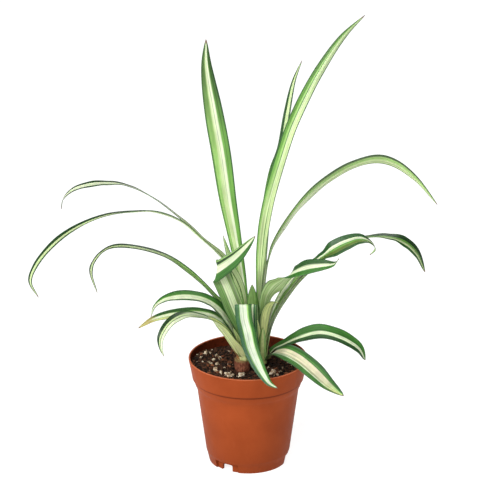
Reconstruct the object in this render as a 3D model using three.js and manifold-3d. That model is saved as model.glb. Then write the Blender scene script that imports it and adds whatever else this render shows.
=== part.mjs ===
// A variegated spider plant in a small plastic nursery pot.
// Millimetres, +Z up. The origin is the middle of the pot's underside, on the surface it stands on.
// The front is -Y. Headings are degrees, with 0 to the right (+X), 90 to the back and 270 to the front.

import * as THREE from 'three';
import { mergeVertices } from 'three/addons/utils/BufferGeometryUtils.js';
import Module from 'manifold-3d';

const wasm = await Module();
wasm.setup();

// Pot
const POT_HEIGHT = 95;
const RIM_RADIUS = 51;
const BAND_BOTTOM = { radius: 47.8, height: 76.9 };
const SHOULDER = { radius: 44.2, height: 69.2 };
const WALL_TOP = { radius: 43.5, height: 65.9 };
const FOOT_STEP = { radius: 36.1, height: 10.6 };
const FOOT_TOP = { radius: 35.6, height: 9.4 };
const FOOT_RADIUS = 33.6;
const WALL = 1.2;
const BAND_WALL = 1.5;
const LIP_ROUND = 0.7;
const FOOT_RING_WIDTH = 4.2;
const FLOOR_UNDERSIDE = 4;
const FLOOR_TOP = 6;
const FLOOR_CORNER_RADIUS = 28;
const CENTRE_PAD_RADIUS = 9;
const POT_SIDES = 56;

// Openings low in the pot
const CUT_OVERLAP = 1;
const CUT_OUTER_RADIUS = 39.6;
const DRAIN_HOLES = 4;
const DRAIN_RADIUS = 3.5;
const DRAIN_CIRCLE = 18;
const FOOT_RECESSES = [236.4, 356.4, 116.4];
const RECESS_WIDTH = 24;
const RECESS_HEIGHT = 8;
const RECESS_BACK_RADIUS = 32;
const NOTCH_WIDTH = 10;
const NOTCH_HEIGHT = 6;
const NOTCH_CORNER = 2;
const NOTCH_INNER_RADIUS = 28.8;

// Soil
const GAP = 0.3;
const SOIL_LEVEL = 86;
const SOIL_ROUGHNESS = 1.1;
const SOIL_SIDES = 48;
const SOIL_RINGS = 11;
const SOIL_LUMPS = 46;
const SOIL_SEED = 7;

// The two short stems that the leaves grow from. Each stands in a hole in the soil.
const CROWN_SIDES = 20;
const HOLE_MARGIN = 0.4;
const CROWNS = {
  left: { x: -5, y: -11.2, radius: 7.6, top: 97.5, foot: 71 },
  right: { x: 11.6, y: 4.6, radius: 7.8, top: 89.5, foot: 70 },
};

// Leaves. The sheaths of a shoot stand in rings about its axis, each on its own ring.
const LEAF_THICKNESS = 0.75;
const LEAF_RINGS = 19;
const LEAF_ACROSS = 4;
const TIP_WIDTH = 1.2;
const RING_SPACING = 18;
const BEND_WEIGHT = 9;
const TAPER_SHARE = 0.42;
const TAPER_POWER = 0.7;
const WIDEST_SLANT = 1.3;
const SHOOTS = {
  left: { x: -1, y: -8, base: CROWNS.left.top + GAP },
  right: { x: 8, y: 5, base: CROWNS.right.top + GAP },
};

// Each leaf has its shoot, the ring radius of its sheath, the sheath's width, the full width, the
// share of its length by which the blade has opened to that width, and the channel that it keeps, in
// degrees. A taper is the share of its length that narrows to the tip, where it isn't the usual one.
// Its route starts above the sheath. A point there is [reach along the heading, drift to the left of
// it, height, turn, rise]. Turn and rise, in degrees, swing the line across the blade about
// the vertical and lift its left edge. They are 0 where left out.
const LEAVES = [
  {
    name: 'leaf_tall_left', shoot: 'right', heading: 130,
    ring: 2, neck: 3.2, width: 16.8, opened: 0.66, channel: 20, taper: 0.3,
    route: [
      [5, 0, 112], [9, 0, 120, -10], [16, 0, 140, -25], [21, 0, 162, -35], [27, 0, 183, -38],
      [33, 0, 204, -38], [39, 0, 225, -38], [48, 0, 265, -38], [57, 0, 297, -38], [67, 0, 338, -38],
      [67.5, 0, 361, -38],
    ],
  },
  {
    name: 'leaf_tall_right', shoot: 'right', heading: 25,
    ring: 1.5, neck: 2.6, width: 10.4, opened: 0.4, channel: 38, taper: 0.3,
    route: [
      [1.7, 0, 117], [2, 0, 145, 20], [2.5, 0, 165, 35], [4, 0, 190, 45], [6.5, 0, 212, 50],
      [11.5, 0, 236, 50], [23.5, 0, 274, 50], [32, 0, 297, 50], [54, 0, 337, 48], [78, 0, 368, 45],
      [99, 0, 385, 40],
    ],
  },
  {
    name: 'leaf_thin_right', shoot: 'right', heading: 66,
    ring: 3.1, neck: 2.2, width: 8, opened: 0.5, channel: 30,
    route: [
      [4.2, 0, 112], [7.5, 0, 135, 5], [11, 0, 165, 15], [14, 0, 195, 20], [18, 0, 218, 20],
      [26, 0, 238, 20], [35, 0, 252, 20], [50, 0, 266, 20], [62, 0, 294, 20], [76, 0, 318, 15],
      [94, 0, 332, 10],
    ],
  },
  {
    name: 'leaf_arch_right', shoot: 'right', heading: 12,
    ring: 3.8, neck: 3.4, width: 13, opened: 0.4, channel: 16,
    route: [
      [4.6, 0, 122], [5.8, 0, 150, 0, -10], [7.4, 0, 168, 0, -25], [10, 0, 182, 0, -45],
      [14.6, 0, 195, 0, -55], [25, 0, 212, 0, -58], [39, 0, 230, 0, -58], [59, 0, 248, 0, -58],
      [81, 0, 260, 0, -58], [103, 0, 264.5, 0, -58], [120, 0, 259, 0, -58], [138, 0, 244, 0, -55],
      [157, 0, 220, 0, -50],
    ],
  },
  {
    name: 'leaf_arch_upper_left', shoot: 'left', heading: 158,
    ring: 1.5, neck: 3, width: 13.5, opened: 0.42, channel: 6,
    route: [
      [1.7, 0, 130], [2.2, 0, 150], [6, 0, 165, 0, 5], [13, 0, 177, 0, 6], [22, 0, 187, 0, 12],
      [43, 0, 202, 0, 24], [61, 0, 216, 0, 28], [86, 0, 231, 0, 28], [109, 0, 238.5, 0, 20],
      [128, 0, 238.5, 0, -2], [147, 0, 234.5, 0, -25], [162, 0, 227.5, 0, -38],
      [170.5, 0, 218, 0, -40], [172.5, 0, 209, 0, -35],
    ],
  },
  {
    name: 'leaf_arch_long_left', shoot: 'left', heading: 192,
    ring: 2.6, neck: 4, width: 13.5, opened: 0.45, channel: 15,
    route: [
      [3.4, 0, 128], [5, 0, 147], [10.5, 0.5, 162, 0, 4], [16, 1, 178, 0, 8], [22, 1.4, 191, 0, 10],
      [40, 1, 210, 0, 14], [57, 0, 226, 0, 18], [80, 0, 236, 0, 20], [93, 0, 237, 0, 20],
      [120, 0, 235.5, 0, 12], [149, 0, 224.5, 0, 0], [169.5, 0, 208.5, 5, -4],
      [180.5, 0, 193.5, 8, -2], [184, 0, 182, 10], [177.5, 0, 167.5, 10],
    ],
  },
  {
    name: 'leaf_arch_lower_left', shoot: 'left', heading: 172,
    ring: 3.7, neck: 5, width: 10.5, opened: 0.4, channel: 10,
    route: [
      [4.4, 0, 114], [6.6, 0, 127], [13, 0, 139], [27, 0, 152], [39, 0, 164.5, 0, 2],
      [51, 0, 174.8, 0, 4], [70, 0, 187, 0, 4], [98, 0, 193.3, 0, 0], [113, 0, 193, 0, 2],
      [122, 0, 189, 15, 8], [131, 0, 179, 25], [134, 0, 169, 30], [129, 0, 150, 30],
    ],
  },
  {
    name: 'leaf_folded_back', shoot: 'left', heading: 235, creased: true,
    ring: 4.8, neck: 6.5, width: 16.5, opened: 0.4, channel: 8,
    route: [
      [6, 1.6, 110, 10, 8], [9, 2, 126, 25, 18], [14.8, -3.8, 150, 35, 25], [18.8, -8.2, 166, 35, 30],
      [22, -11.6, 176.5, 35, 45], [25.4, -12.8, 181.5, 35, 80], [26, -9.6, 184.5, 35, 110],
      [23.8, -5, 188.5, 35, 126], [19.6, 2.1, 195.5, 35, 133], [15, 8.7, 204, 35, 133],
      [9.9, 15.5, 214.5, 35, 133],
    ],
  },
  {
    name: 'leaf_small_upright', shoot: 'right', heading: 119,
    ring: 3.4, neck: 2.2, width: 10, opened: 0.3, channel: 28, taper: 0.75,
    route: [
      [7.9, 0, 110, -10], [17.4, 0, 129, -20], [31, 0, 145, -25], [52, 0, 171, -25], [61, 0, 184, -25],
    ],
  },
  {
    name: 'leaf_front_fold', shoot: 'left', heading: 270,
    ring: 5.9, neck: 6, width: 14, opened: 0.35, channel: 3,
    route: [
      [8, 0, 106], [13, -1, 122], [16, -2.4, 140], [17.4, -3, 150], [18.6, -3.2, 153.6],
      [20.4, -3.2, 153.4], [21.4, -3, 149.5], [22.4, -2.5, 143], [26, 0.5, 131], [30, 3.1, 120],
      [38, 7.8, 110.5], [48, 14.2, 101.4], [54, 19.2, 96.6], [58, 26, 94],
    ],
  },
  {
    name: 'leaf_front_narrow', shoot: 'right', heading: 250,
    ring: 3.9, neck: 3.6, width: 7.5, opened: 0.3, channel: 4,
    route: [
      [5.6, 0, 106], [9, 0.5, 125, 8], [12.5, 1.2, 140, 15], [13.8, 1.4, 145.8, 15],
      [15.3, 1.5, 147, 15], [16.7, 1.6, 143.5, 15], [17.6, 2.2, 132, 15], [18.3, 4.8, 113, 15],
      [18.8, 9.6, 94, 15],
    ],
  },
  {
    name: 'leaf_curl_left', shoot: 'left', heading: 200,
    ring: 6, neck: 6, width: 14.5, opened: 0.4, channel: 14,
    route: [
      [7.6, 0, 108], [11, 0, 122], [17, 0, 134.5, 0, -10], [25, 0, 146, 0, -16],
      [35, 0, 154.6, 0, -18], [48, 0, 160.2, 0, -18], [62, 0, 162.3, 0, -16], [74, 0, 161, 0, -8],
      [82, 0, 156, 0, 5], [85.5, 0, 147, 0, 20],
    ],
  },
  {
    name: 'leaf_low_left', shoot: 'left', heading: 210,
    ring: 7.2, neck: 7, width: 12, opened: 0.4, channel: 12,
    route: [
      [8.4, 0, 106], [11, 0, 115], [17, 0, 128], [31, 0, 141, 0, -10], [44, 0, 147, 0, -18],
      [59, 0, 150.5, 0, -24], [76, 0, 152, 0, -24], [90, 0, 151, 0, -20], [104, 0, 146, 0, -15],
    ],
  },
  {
    name: 'leaf_drooping_left', shoot: 'left', heading: 230,
    ring: 8.4, neck: 7, width: 12, opened: 0.4, channel: 12,
    route: [
      [10, 0, 103], [15, 0, 111], [29, 0, 130, 0, -8], [41, 0, 143, 0, -12], [53, 0, 151, 0, -15],
      [73, 0, 160, 0, -15], [88, 0, 162, 0, -10], [101, 0, 159], [109.5, 0, 151], [110.5, 0, 146],
      [109, 0, 139], [106, 0, 133],
    ],
  },
  {
    name: 'leaf_twisted_right', shoot: 'right', heading: -28,
    ring: 4.8, neck: 6, width: 17, opened: 0.34, channel: 10,
    route: [
      [5.6, 0, 110], [6.8, 0, 132, 0, -12], [9.4, 0, 149, 0, -45], [16, 0, 160, 0, -60],
      [25, 0, 168.5, 0, -30], [35, 0, 177, 0, 28], [48, 0, 184, 0, 52], [62, 0, 188.3, 0, 52],
      [73, 0, 191.5, 0, 35], [77, 0, 197, 0, 10],
    ],
  },
  {
    name: 'leaf_curl_right', shoot: 'right', heading: 5,
    ring: 7.1, neck: 6.4, width: 17.5, opened: 0.7, channel: 14,
    route: [
      [7.8, 0, 106], [9.8, 0, 120], [13, 0, 134], [22, 0, 152, 0, -6], [35, 0, 168.5, 0, -14],
      [46, 0, 176.5, 0, -14], [56, 0, 183, 0, 2], [66, 0, 190, 0, 42], [76, 0, 195, 0, 46],
      [87, 0, 198, 0, 36], [96, 0, 195, 0, 12], [100.5, 0, 188.5], [96, 0, 183],
    ],
  },
  {
    name: 'leaf_arch_lower_right', shoot: 'right', heading: 16,
    ring: 8.2, neck: 7, width: 14.5, opened: 0.4, channel: 16,
    route: [
      [9.4, 0, 104], [13, 0, 122], [19.5, 0, 136], [29, 0, 150], [42, 0, 165], [56, 0, 176.5],
      [78, 0, 188, 0, -8], [100, 0, 192, 0, -14], [118, 0, 190, 0, 2], [132, 0, 184, 0, 30],
      [143, 0, 173, 0, 45], [151, 0, 154.5, 0, 45],
    ],
  },
  {
    name: 'leaf_short_right', shoot: 'right', heading: -50,
    ring: 6, neck: 3, width: 12.5, opened: 0.75, channel: 16,
    route: [
      [7.4, 0, 106], [9, 0, 122], [11.6, 0, 136, 0, -8], [15.6, 0, 145, 0, -18], [21, 0, 150, 0, -22],
      [27.6, 0, 150.5, 0, -15],
    ],
  },
  {
    name: 'leaf_low_right', shoot: 'right', heading: 5,
    ring: 9.6, neck: 8, width: 15, opened: 0.5, channel: 12,
    route: [
      [10.8, 0, 95], [14.4, 0, 99.6], [23, 0, 104, 0, 12], [31, 0, 108, 0, 24], [42, 0, 112.2, 0, 34],
      [54, 0, 114.2, 0, 37], [67, 0, 111, 0, 35], [78.5, 0, 105.2, 0, 30], [88.5, 0, 97, 0, 15],
      [93.5, 0, 86],
    ],
  },
  {
    name: 'leaf_broad_low_right', shoot: 'right', heading: -38,
    ring: 10.8, neck: 9, width: 18, opened: 0.34, channel: 10,
    route: [
      [12, 0, 93.4], [15.2, 0, 98.4], [20, 0, 102.4, 0, 12], [29, 0, 105, 0, 22],
      [44, 0, 102.6, 0, 24], [60, 0, 95.6, 0, 24], [76, 0, 87, 0, 22], [92, 0, 81, 0, 20],
    ],
  },
];

// Colours
const TERRACOTTA = new THREE.MeshStandardMaterial({ color: 0xb35a33, roughness: 0.5, metalness: 0 });
const SOIL_BROWN = new THREE.MeshStandardMaterial({ color: 0x39251a, roughness: 0.95, metalness: 0 });
const STEM_BROWN = new THREE.MeshStandardMaterial({ color: 0x8a5a38, roughness: 0.85, metalness: 0 });
const LEAF_GREEN = new THREE.MeshStandardMaterial({ color: 0x5d8f3c, roughness: 0.45, metalness: 0 });

const TAU = Math.PI * 2;
const WELD_DISTANCE = 0.0001;

function radians(degrees) {
  return THREE.MathUtils.degToRad(degrees);
}

// A small generator of numbers from 0 to 1 that always gives the same run for a seed.
function seededRandom(seed) {
  let state = seed;
  return () => {
    state = (state * 16807) % 2147483647;
    return state / 2147483647;
  };
}

// Solids and meshes

function toManifold(geometry) {
  const bare = geometry.clone();
  bare.deleteAttribute('normal');
  bare.deleteAttribute('uv');
  const merged = mergeVertices(bare, WELD_DISTANCE);
  return new wasm.Manifold(new wasm.Mesh({
    numProp: 3,
    vertProperties: new Float32Array(merged.attributes.position.array),
    triVerts: new Uint32Array(merged.index.array),
  }));
}

function toGeometry(manifold) {
  const mesh = manifold.getMesh();
  const geometry = new THREE.BufferGeometry();
  geometry.setAttribute('position', new THREE.BufferAttribute(new Float32Array(mesh.vertProperties), 3));
  geometry.setIndex(new THREE.BufferAttribute(new Uint32Array(mesh.triVerts), 1));
  return geometry;
}

// Turns an outline of [radius, height] points about the vertical axis.
function turned(outline, sides) {
  const points = outline.map(([radius, height]) => new THREE.Vector2(radius, height));
  return new THREE.LatheGeometry(points, sides).rotateX(Math.PI / 2);
}

function namedMesh(name, geometry, material) {
  const mesh = new THREE.Mesh(geometry, material.clone());
  geometry.computeVertexNormals();
  mesh.name = name;
  return mesh;
}

// Pot

function potOutline() {
  const innerBandTop = RIM_RADIUS - BAND_WALL;
  const outline = new THREE.Path();
  outline.moveTo(0, 0);
  outline.lineTo(CENTRE_PAD_RADIUS, 0);
  outline.lineTo(CENTRE_PAD_RADIUS + 0.6, FLOOR_UNDERSIDE);
  outline.lineTo(FOOT_RADIUS - FOOT_RING_WIDTH, FLOOR_UNDERSIDE);
  outline.lineTo(FOOT_RADIUS - FOOT_RING_WIDTH + 0.4, 0);
  outline.lineTo(FOOT_RADIUS - 0.5, 0);
  outline.lineTo(FOOT_RADIUS, 0.6);
  outline.lineTo(FOOT_TOP.radius, FOOT_TOP.height);
  outline.lineTo(FOOT_STEP.radius, FOOT_STEP.height);
  outline.lineTo(WALL_TOP.radius, WALL_TOP.height);
  const flare = { radius: SHOULDER.radius + 1.2, height: SHOULDER.height + 2 };
  outline.quadraticCurveTo(SHOULDER.radius - 0.2, SHOULDER.height, flare.radius, flare.height);
  outline.lineTo(BAND_BOTTOM.radius - 0.5, BAND_BOTTOM.height - 0.9);
  outline.lineTo(BAND_BOTTOM.radius, BAND_BOTTOM.height);
  outline.lineTo(RIM_RADIUS, POT_HEIGHT - LIP_ROUND);
  outline.quadraticCurveTo(RIM_RADIUS, POT_HEIGHT, RIM_RADIUS - BAND_WALL / 2, POT_HEIGHT);
  const lipFoot = POT_HEIGHT - LIP_ROUND;
  outline.quadraticCurveTo(innerBandTop, POT_HEIGHT, innerBandTop - 0.05, lipFoot);
  outline.lineTo(BAND_BOTTOM.radius - BAND_WALL, BAND_BOTTOM.height);
  outline.lineTo(SHOULDER.radius - WALL, SHOULDER.height);
  outline.lineTo(WALL_TOP.radius - WALL, WALL_TOP.height);
  const cornerHeight = FLOOR_TOP + 7;
  outline.lineTo(innerWallRadius(cornerHeight), cornerHeight);
  outline.lineTo(FLOOR_CORNER_RADIUS, FLOOR_TOP);
  outline.lineTo(0, FLOOR_TOP);
  return outline.getPoints(3).map((point) => [point.x, point.y]);
}

// The inside radius of the pot's plain wall, between the foot and the rim band.
function innerWallRadius(height) {
  const share = (height - FOOT_STEP.height) / (WALL_TOP.height - FOOT_STEP.height);
  return THREE.MathUtils.lerp(FOOT_STEP.radius, WALL_TOP.radius, share) - WALL;
}

function footRecess(heading) {
  const half = RECESS_WIDTH / 2 / FOOT_TOP.radius;
  const sector = new THREE.Shape();
  sector.absarc(0, 0, CUT_OUTER_RADIUS, -half, half, false);
  sector.absarc(0, 0, RECESS_BACK_RADIUS, half, -half, true);
  const depth = RECESS_HEIGHT + CUT_OVERLAP;
  const geometry = new THREE.ExtrudeGeometry(sector, { depth, bevelEnabled: false, curveSegments: 6 });
  return geometry.translate(0, 0, -CUT_OVERLAP).rotateZ(radians(heading));
}

function footNotch(heading) {
  const half = NOTCH_WIDTH / 2;
  const arch = new THREE.Shape();
  arch.moveTo(-half, -CUT_OVERLAP);
  arch.lineTo(half, -CUT_OVERLAP);
  arch.absarc(half - NOTCH_CORNER, NOTCH_HEIGHT - NOTCH_CORNER, NOTCH_CORNER, 0, Math.PI / 2, false);
  arch.absarc(NOTCH_CORNER - half, NOTCH_HEIGHT - NOTCH_CORNER, NOTCH_CORNER, Math.PI / 2, Math.PI, false);
  const depth = CUT_OUTER_RADIUS - NOTCH_INNER_RADIUS;
  const geometry = new THREE.ExtrudeGeometry(arch, { depth, bevelEnabled: false, curveSegments: 3 });
  geometry.rotateX(Math.PI / 2).rotateZ(Math.PI / 2).translate(NOTCH_INNER_RADIUS, 0, 0);
  return geometry.rotateZ(radians(heading));
}

function drainHole(index) {
  const angle = (index + 0.5) * TAU / DRAIN_HOLES;
  const depth = FLOOR_TOP + 2 * CUT_OVERLAP;
  const geometry = new THREE.CylinderGeometry(DRAIN_RADIUS, DRAIN_RADIUS, depth, 14).rotateX(Math.PI / 2);
  return geometry.translate(DRAIN_CIRCLE * Math.cos(angle), DRAIN_CIRCLE * Math.sin(angle), depth / 2);
}

function pot() {
  let body = toManifold(turned(potOutline(), POT_SIDES));
  for (const heading of FOOT_RECESSES) {
    body = body.subtract(toManifold(footRecess(heading)));
    body = body.subtract(toManifold(footNotch(heading)));
  }
  for (let index = 0; index < DRAIN_HOLES; index += 1) {
    body = body.subtract(toManifold(drainHole(index)));
  }
  return namedMesh('nursery_pot', toGeometry(body), TERRACOTTA);
}

// Stems

// The outline of a stem, grown by a margin on all sides for the hole that it stands in.
function crownOutline(crown, margin) {
  const radius = crown.radius + margin;
  const foot = crown.foot - margin;
  const outline = [[0, foot], [radius * 0.45, foot], [radius * 0.72, foot + 5]];
  outline.push([radius * 0.82, SOIL_LEVEL - 6]);
  if (margin > 0) {
    outline.push([radius, SOIL_LEVEL - 1], [radius, SOIL_LEVEL + 5], [0, SOIL_LEVEL + 5]);
    return outline;
  }
  const scars = Math.max(1, Math.round((crown.top - SOIL_LEVEL) / 3.6));
  const step = (crown.top - SOIL_LEVEL - 0.4) / scars;
  for (let scar = 0; scar < scars; scar += 1) {
    const height = SOIL_LEVEL + scar * step;
    const share = THREE.MathUtils.lerp(0.84, 1, (scar + 1) / scars);
    outline.push([radius * share - 0.5, height + step * 0.25], [radius * share, height + step * 0.7]);
  }
  outline.push([radius - 0.6, crown.top], [0, crown.top]);
  return outline;
}

function crownStem(side) {
  const crown = CROWNS[side];
  const geometry = turned(crownOutline(crown, 0), CROWN_SIDES).translate(crown.x, crown.y, 0);
  return namedMesh(`crown_stem_${side}`, toGeometry(toManifold(geometry)), STEM_BROWN);
}

// Soil

// Lumps of bark and grit: low round bumps and dips at seeded places on the surface.
function soilLumps() {
  const random = seededRandom(SOIL_SEED);
  const lumps = [];
  for (let index = 0; index < SOIL_LUMPS; index += 1) {
    const reach = 44 * Math.sqrt(random());
    const angle = random() * TAU;
    lumps.push({
      x: reach * Math.cos(angle),
      y: reach * Math.sin(angle),
      size: 3 + 4 * random(),
      height: SOIL_ROUGHNESS * (2 * random() - 0.8),
    });
  }
  return lumps;
}

function soil() {
  const edgeRadius = 47.5;
  const outline = [
    [0, FLOOR_TOP + GAP],
    [FLOOR_CORNER_RADIUS - GAP, FLOOR_TOP + GAP],
    [innerWallRadius(FLOOR_TOP + 7) - 0.4, FLOOR_TOP + 7 + GAP],
    [WALL_TOP.radius - WALL - 0.4, WALL_TOP.height],
    [SHOULDER.radius - WALL - 0.4, SHOULDER.height + GAP],
    [BAND_BOTTOM.radius - BAND_WALL - 0.4, BAND_BOTTOM.height + GAP],
  ];
  for (let ring = 0; ring <= SOIL_RINGS; ring += 1) {
    outline.push([edgeRadius * (1 - ring / SOIL_RINGS), SOIL_LEVEL]);
  }
  const geometry = turned(outline, SOIL_SIDES);
  const lumps = soilLumps();
  const position = geometry.attributes.position;
  for (let index = 0; index < position.count; index += 1) {
    if (position.getZ(index) < SOIL_LEVEL - 0.01) continue;
    const x = position.getX(index);
    const y = position.getY(index);
    let height = SOIL_LEVEL;
    for (const lump of lumps) {
      height += lump.height * Math.exp(-((x - lump.x) ** 2 + (y - lump.y) ** 2) / lump.size ** 2);
    }
    position.setZ(index, height);
  }
  let body = toManifold(geometry);
  for (const crown of Object.values(CROWNS)) {
    const hole = turned(crownOutline(crown, HOLE_MARGIN), CROWN_SIDES).translate(crown.x, crown.y, 0);
    body = body.subtract(toManifold(hole));
  }
  return namedMesh('potting_soil', toGeometry(body), SOIL_BROWN);
}

// Leaves

// The middle line of a leaf and, for any share of its length, its turn and rise.
function leafRoute(leaf) {
  const shoot = SHOOTS[leaf.shoot];
  const heading = radians(leaf.heading);
  const ahead = new THREE.Vector3(Math.cos(heading), Math.sin(heading), 0);
  const left = new THREE.Vector3(-Math.sin(heading), Math.cos(heading), 0);
  const rows = [[leaf.ring, 0, shoot.base], [leaf.ring, 0, shoot.base + 3], ...leaf.route];
  const points = rows.map(([reach, drift, height]) => new THREE.Vector3(shoot.x, shoot.y, height)
    .addScaledVector(ahead, reach).addScaledVector(left, drift));
  const curve = new THREE.CatmullRomCurve3(points, false, 'centripetal');
  curve.arcLengthDivisions = 600;
  const edgeAt = (share) => {
    const place = curve.getUtoTmapping(share) * (rows.length - 1);
    const row = Math.min(Math.floor(place), rows.length - 2);
    const blend = THREE.MathUtils.smoothstep(place - row, 0, 1);
    const turn = THREE.MathUtils.lerp(rows[row][3] ?? 0, rows[row + 1][3] ?? 0, blend);
    const rise = THREE.MathUtils.lerp(rows[row][4] ?? 0, rows[row + 1][4] ?? 0, blend);
    const azimuth = heading + Math.PI / 2 + radians(turn);
    const lift = radians(rise);
    const level = new THREE.Vector3(Math.cos(azimuth), Math.sin(azimuth), 0);
    return level.multiplyScalar(Math.cos(lift)).setZ(Math.sin(lift));
  };
  return { curve, edgeAt };
}

// Shares of the length at which rings are placed, closer together where the leaf bends.
function leafStations(curve) {
  const samples = 300;
  const totals = [0];
  const length = curve.getLength();
  let before = curve.getTangentAt(0);
  for (let index = 1; index <= samples; index += 1) {
    const tangent = curve.getTangentAt(index / samples);
    const step = length / samples / RING_SPACING + before.angleTo(tangent) * BEND_WEIGHT / TAU;
    totals.push(totals[index - 1] + step);
    before = tangent;
  }
  const stations = [];
  let index = 0;
  for (let ring = 0; ring <= LEAF_RINGS; ring += 1) {
    const target = totals[samples] * ring / LEAF_RINGS;
    while (index < samples - 1 && totals[index + 1] < target) index += 1;
    const part = (target - totals[index]) / (totals[index + 1] - totals[index]);
    stations.push(Math.min(1, (index + part) / samples));
  }
  return stations;
}

// The blade is narrow at its sheath, opens to its full width and runs out to a point.
function leafWidth(leaf, share) {
  const opening = THREE.MathUtils.smoothstep(share, 0.02, leaf.opened);
  const full = THREE.MathUtils.lerp(leaf.neck, leaf.width, opening);
  const length = leaf.taper ?? TAPER_SHARE;
  const taper = Math.sin(Math.min(1, (1 - share) / length) * Math.PI / 2) ** TAPER_POWER;
  return Math.max(TIP_WIDTH, full * taper);
}

// Half the angle that the blade's cross-section bends through.
function leafChannel(leaf, share) {
  const sheath = leaf.neck / 2 / leaf.ring;
  const opened = THREE.MathUtils.smoothstep(share, 0.03, 0.3);
  const blade = radians(leaf.channel) * (1 - 0.6 * THREE.MathUtils.smoothstep(share, 0.6, 1));
  return THREE.MathUtils.lerp(sheath, blade, opened);
}

// One cross-section: the points of the upper face and, below them, of the lower face.
function leafSection(leaf, route, share) {
  const centre = route.curve.getPointAt(share);
  const along = route.curve.getTangentAt(share);
  const edge = route.edgeAt(share);
  if (!leaf.creased) edge.addScaledVector(along, -edge.dot(along)).normalize();
  const face = new THREE.Vector3().crossVectors(along, edge);
  const slant = Math.max(face.length(), 1 / WIDEST_SLANT);
  face.normalize();
  const bend = leafChannel(leaf, share);
  const radius = leafWidth(leaf, share) / 2 / bend;
  const section = [];
  for (const side of [1, -1]) {
    for (let step = 0; step <= LEAF_ACROSS; step += 1) {
      const angle = bend * (2 * step / LEAF_ACROSS - 1);
      const offset = side * LEAF_THICKNESS / 2;
      const across = (radius - offset) * Math.sin(angle) / slant;
      const lift = radius - (radius - offset) * Math.cos(angle);
      section.push(centre.clone().addScaledVector(edge, across).addScaledVector(face, lift));
    }
  }
  return section;
}

function leafBlade(leaf) {
  const route = leafRoute(leaf);
  const sections = leafStations(route.curve).map((share) => leafSection(leaf, route, share));
  const positions = sections.flat().flatMap((point) => point.toArray());
  const row = LEAF_ACROSS + 1;
  const ring = 2 * row;
  const faces = [];
  const quad = (a, b, c, d) => faces.push(a, b, c, a, c, d);
  const quadOtherWay = (a, b, c, d) => faces.push(a, c, b, a, d, c);
  for (let index = 0; index < sections.length - 1; index += 1) {
    const here = index * ring;
    const next = here + ring;
    for (let step = 0; step < LEAF_ACROSS; step += 1) {
      quad(here + step, next + step, next + step + 1, here + step + 1);
      const low = row + step;
      quadOtherWay(here + low, next + low, next + low + 1, here + low + 1);
    }
    quad(here, here + row, next + row, next);
    quad(here + LEAF_ACROSS, next + LEAF_ACROSS, next + row + LEAF_ACROSS, here + row + LEAF_ACROSS);
  }
  const last = (sections.length - 1) * ring;
  for (let step = 0; step < LEAF_ACROSS; step += 1) {
    quad(step, step + 1, row + step + 1, row + step);
    quadOtherWay(last + step, last + step + 1, last + row + step + 1, last + row + step);
  }
  const geometry = new THREE.BufferGeometry();
  geometry.setAttribute('position', new THREE.Float32BufferAttribute(positions, 3));
  geometry.setIndex(faces);
  return namedMesh(leaf.name, geometry, LEAF_GREEN);
}

const plant = new THREE.Group();
plant.add(pot(), soil(), crownStem('left'), crownStem('right'));
for (const leaf of LEAVES) plant.add(leafBlade(leaf));

export default plant;
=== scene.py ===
# A variegated spider plant in a small plastic nursery pot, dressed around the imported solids.
# The tables are in millimetres and the meshes in metres. The front is -Y and +Z is up.
# Headings are degrees, with 0 to the right (+X), 90 to the back and 270 to the front.

import random
from dataclasses import dataclass
from math import cos, exp, hypot, pi, radians, sin, sqrt

import bmesh
import bpy
import numpy as np
from mathutils import Euler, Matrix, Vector, noise


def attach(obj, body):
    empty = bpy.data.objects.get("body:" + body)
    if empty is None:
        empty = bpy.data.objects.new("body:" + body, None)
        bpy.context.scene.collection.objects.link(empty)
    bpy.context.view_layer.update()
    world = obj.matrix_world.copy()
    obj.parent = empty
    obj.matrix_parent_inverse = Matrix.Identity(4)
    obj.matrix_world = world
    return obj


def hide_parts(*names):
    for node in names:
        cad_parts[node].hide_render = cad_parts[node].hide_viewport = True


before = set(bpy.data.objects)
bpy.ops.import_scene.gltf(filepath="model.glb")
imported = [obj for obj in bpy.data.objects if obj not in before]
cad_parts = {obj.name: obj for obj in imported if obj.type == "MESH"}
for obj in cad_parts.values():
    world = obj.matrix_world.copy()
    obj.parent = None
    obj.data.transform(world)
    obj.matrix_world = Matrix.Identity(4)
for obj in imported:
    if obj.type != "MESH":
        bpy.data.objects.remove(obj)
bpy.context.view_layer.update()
MM = 0.001
TAU = 2 * pi

# Pot
POT_HEIGHT = 95
RIM_RADIUS = 51
BAND_BOTTOM = (47.8, 76.9)
SHOULDER = (44.2, 69.2)
WALL_TOP = (43.5, 65.9)
FOOT_STEP = (36.1, 10.6)
FOOT_TOP = (35.6, 9.4)
FOOT_RADIUS = 33.6
WALL = 1.2
BAND_WALL = 1.5
FOOT_RING_WIDTH = 4.2
FLOOR_UNDERSIDE = 4
FLOOR_TOP = 6
FLOOR_CORNER_RADIUS = 28
FLOOR_CORNER_HEIGHT = FLOOR_TOP + 7
CENTRE_PAD_RADIUS = 9
POT_SIDES = 192
SHARP_ANGLE = 32
DRAIN_HOLES = 4
DRAIN_RADIUS = 3.5
DRAIN_CIRCLE = 18
DRAIN_SIDES = 28
FOOT_RECESSES = (236.4, 356.4, 116.4)
RECESS_WIDTH = 24
RECESS_HEIGHT = 8
RECESS_BACK_RADIUS = 32
RECESS_STEPS = 13
NOTCH_WIDTH = 10
NOTCH_HEIGHT = 6
NOTCH_CORNER = 2
NOTCH_CORNER_STEPS = 6
NOTCH_INNER_RADIUS = 28.8
CUT_OVERLAP = 1
CUT_OUTER_RADIUS = 39.6

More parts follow.
